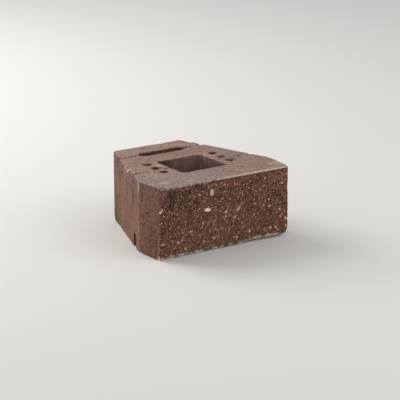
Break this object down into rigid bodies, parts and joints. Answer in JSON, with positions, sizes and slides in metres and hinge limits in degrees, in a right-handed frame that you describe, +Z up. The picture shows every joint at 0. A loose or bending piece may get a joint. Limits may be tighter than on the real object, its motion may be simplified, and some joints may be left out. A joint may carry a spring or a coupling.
{
  "type": "split-face retaining wall block",
  "caption": "Tapered concrete retaining wall block with a rough split face, a square through core, pin holes in the top, a rear slot and a pin channel in the underside.",
  "frame": {"origin": "middle of the underside of the block", "axes": "+X along the width of the split face, to the right for someone who looks at that face; the split face looks along -Y; +Z up"},
  "size_m": [0.43, 0.4, 0.203],
  "materials": {
    "brown_concrete": "cast concrete, smooth on the top and sides, rough broken aggregate on the split face"
  },
  "bodies": {
    "root": {"concrete_block": "brown_concrete"}
  },
  "joints": []
}
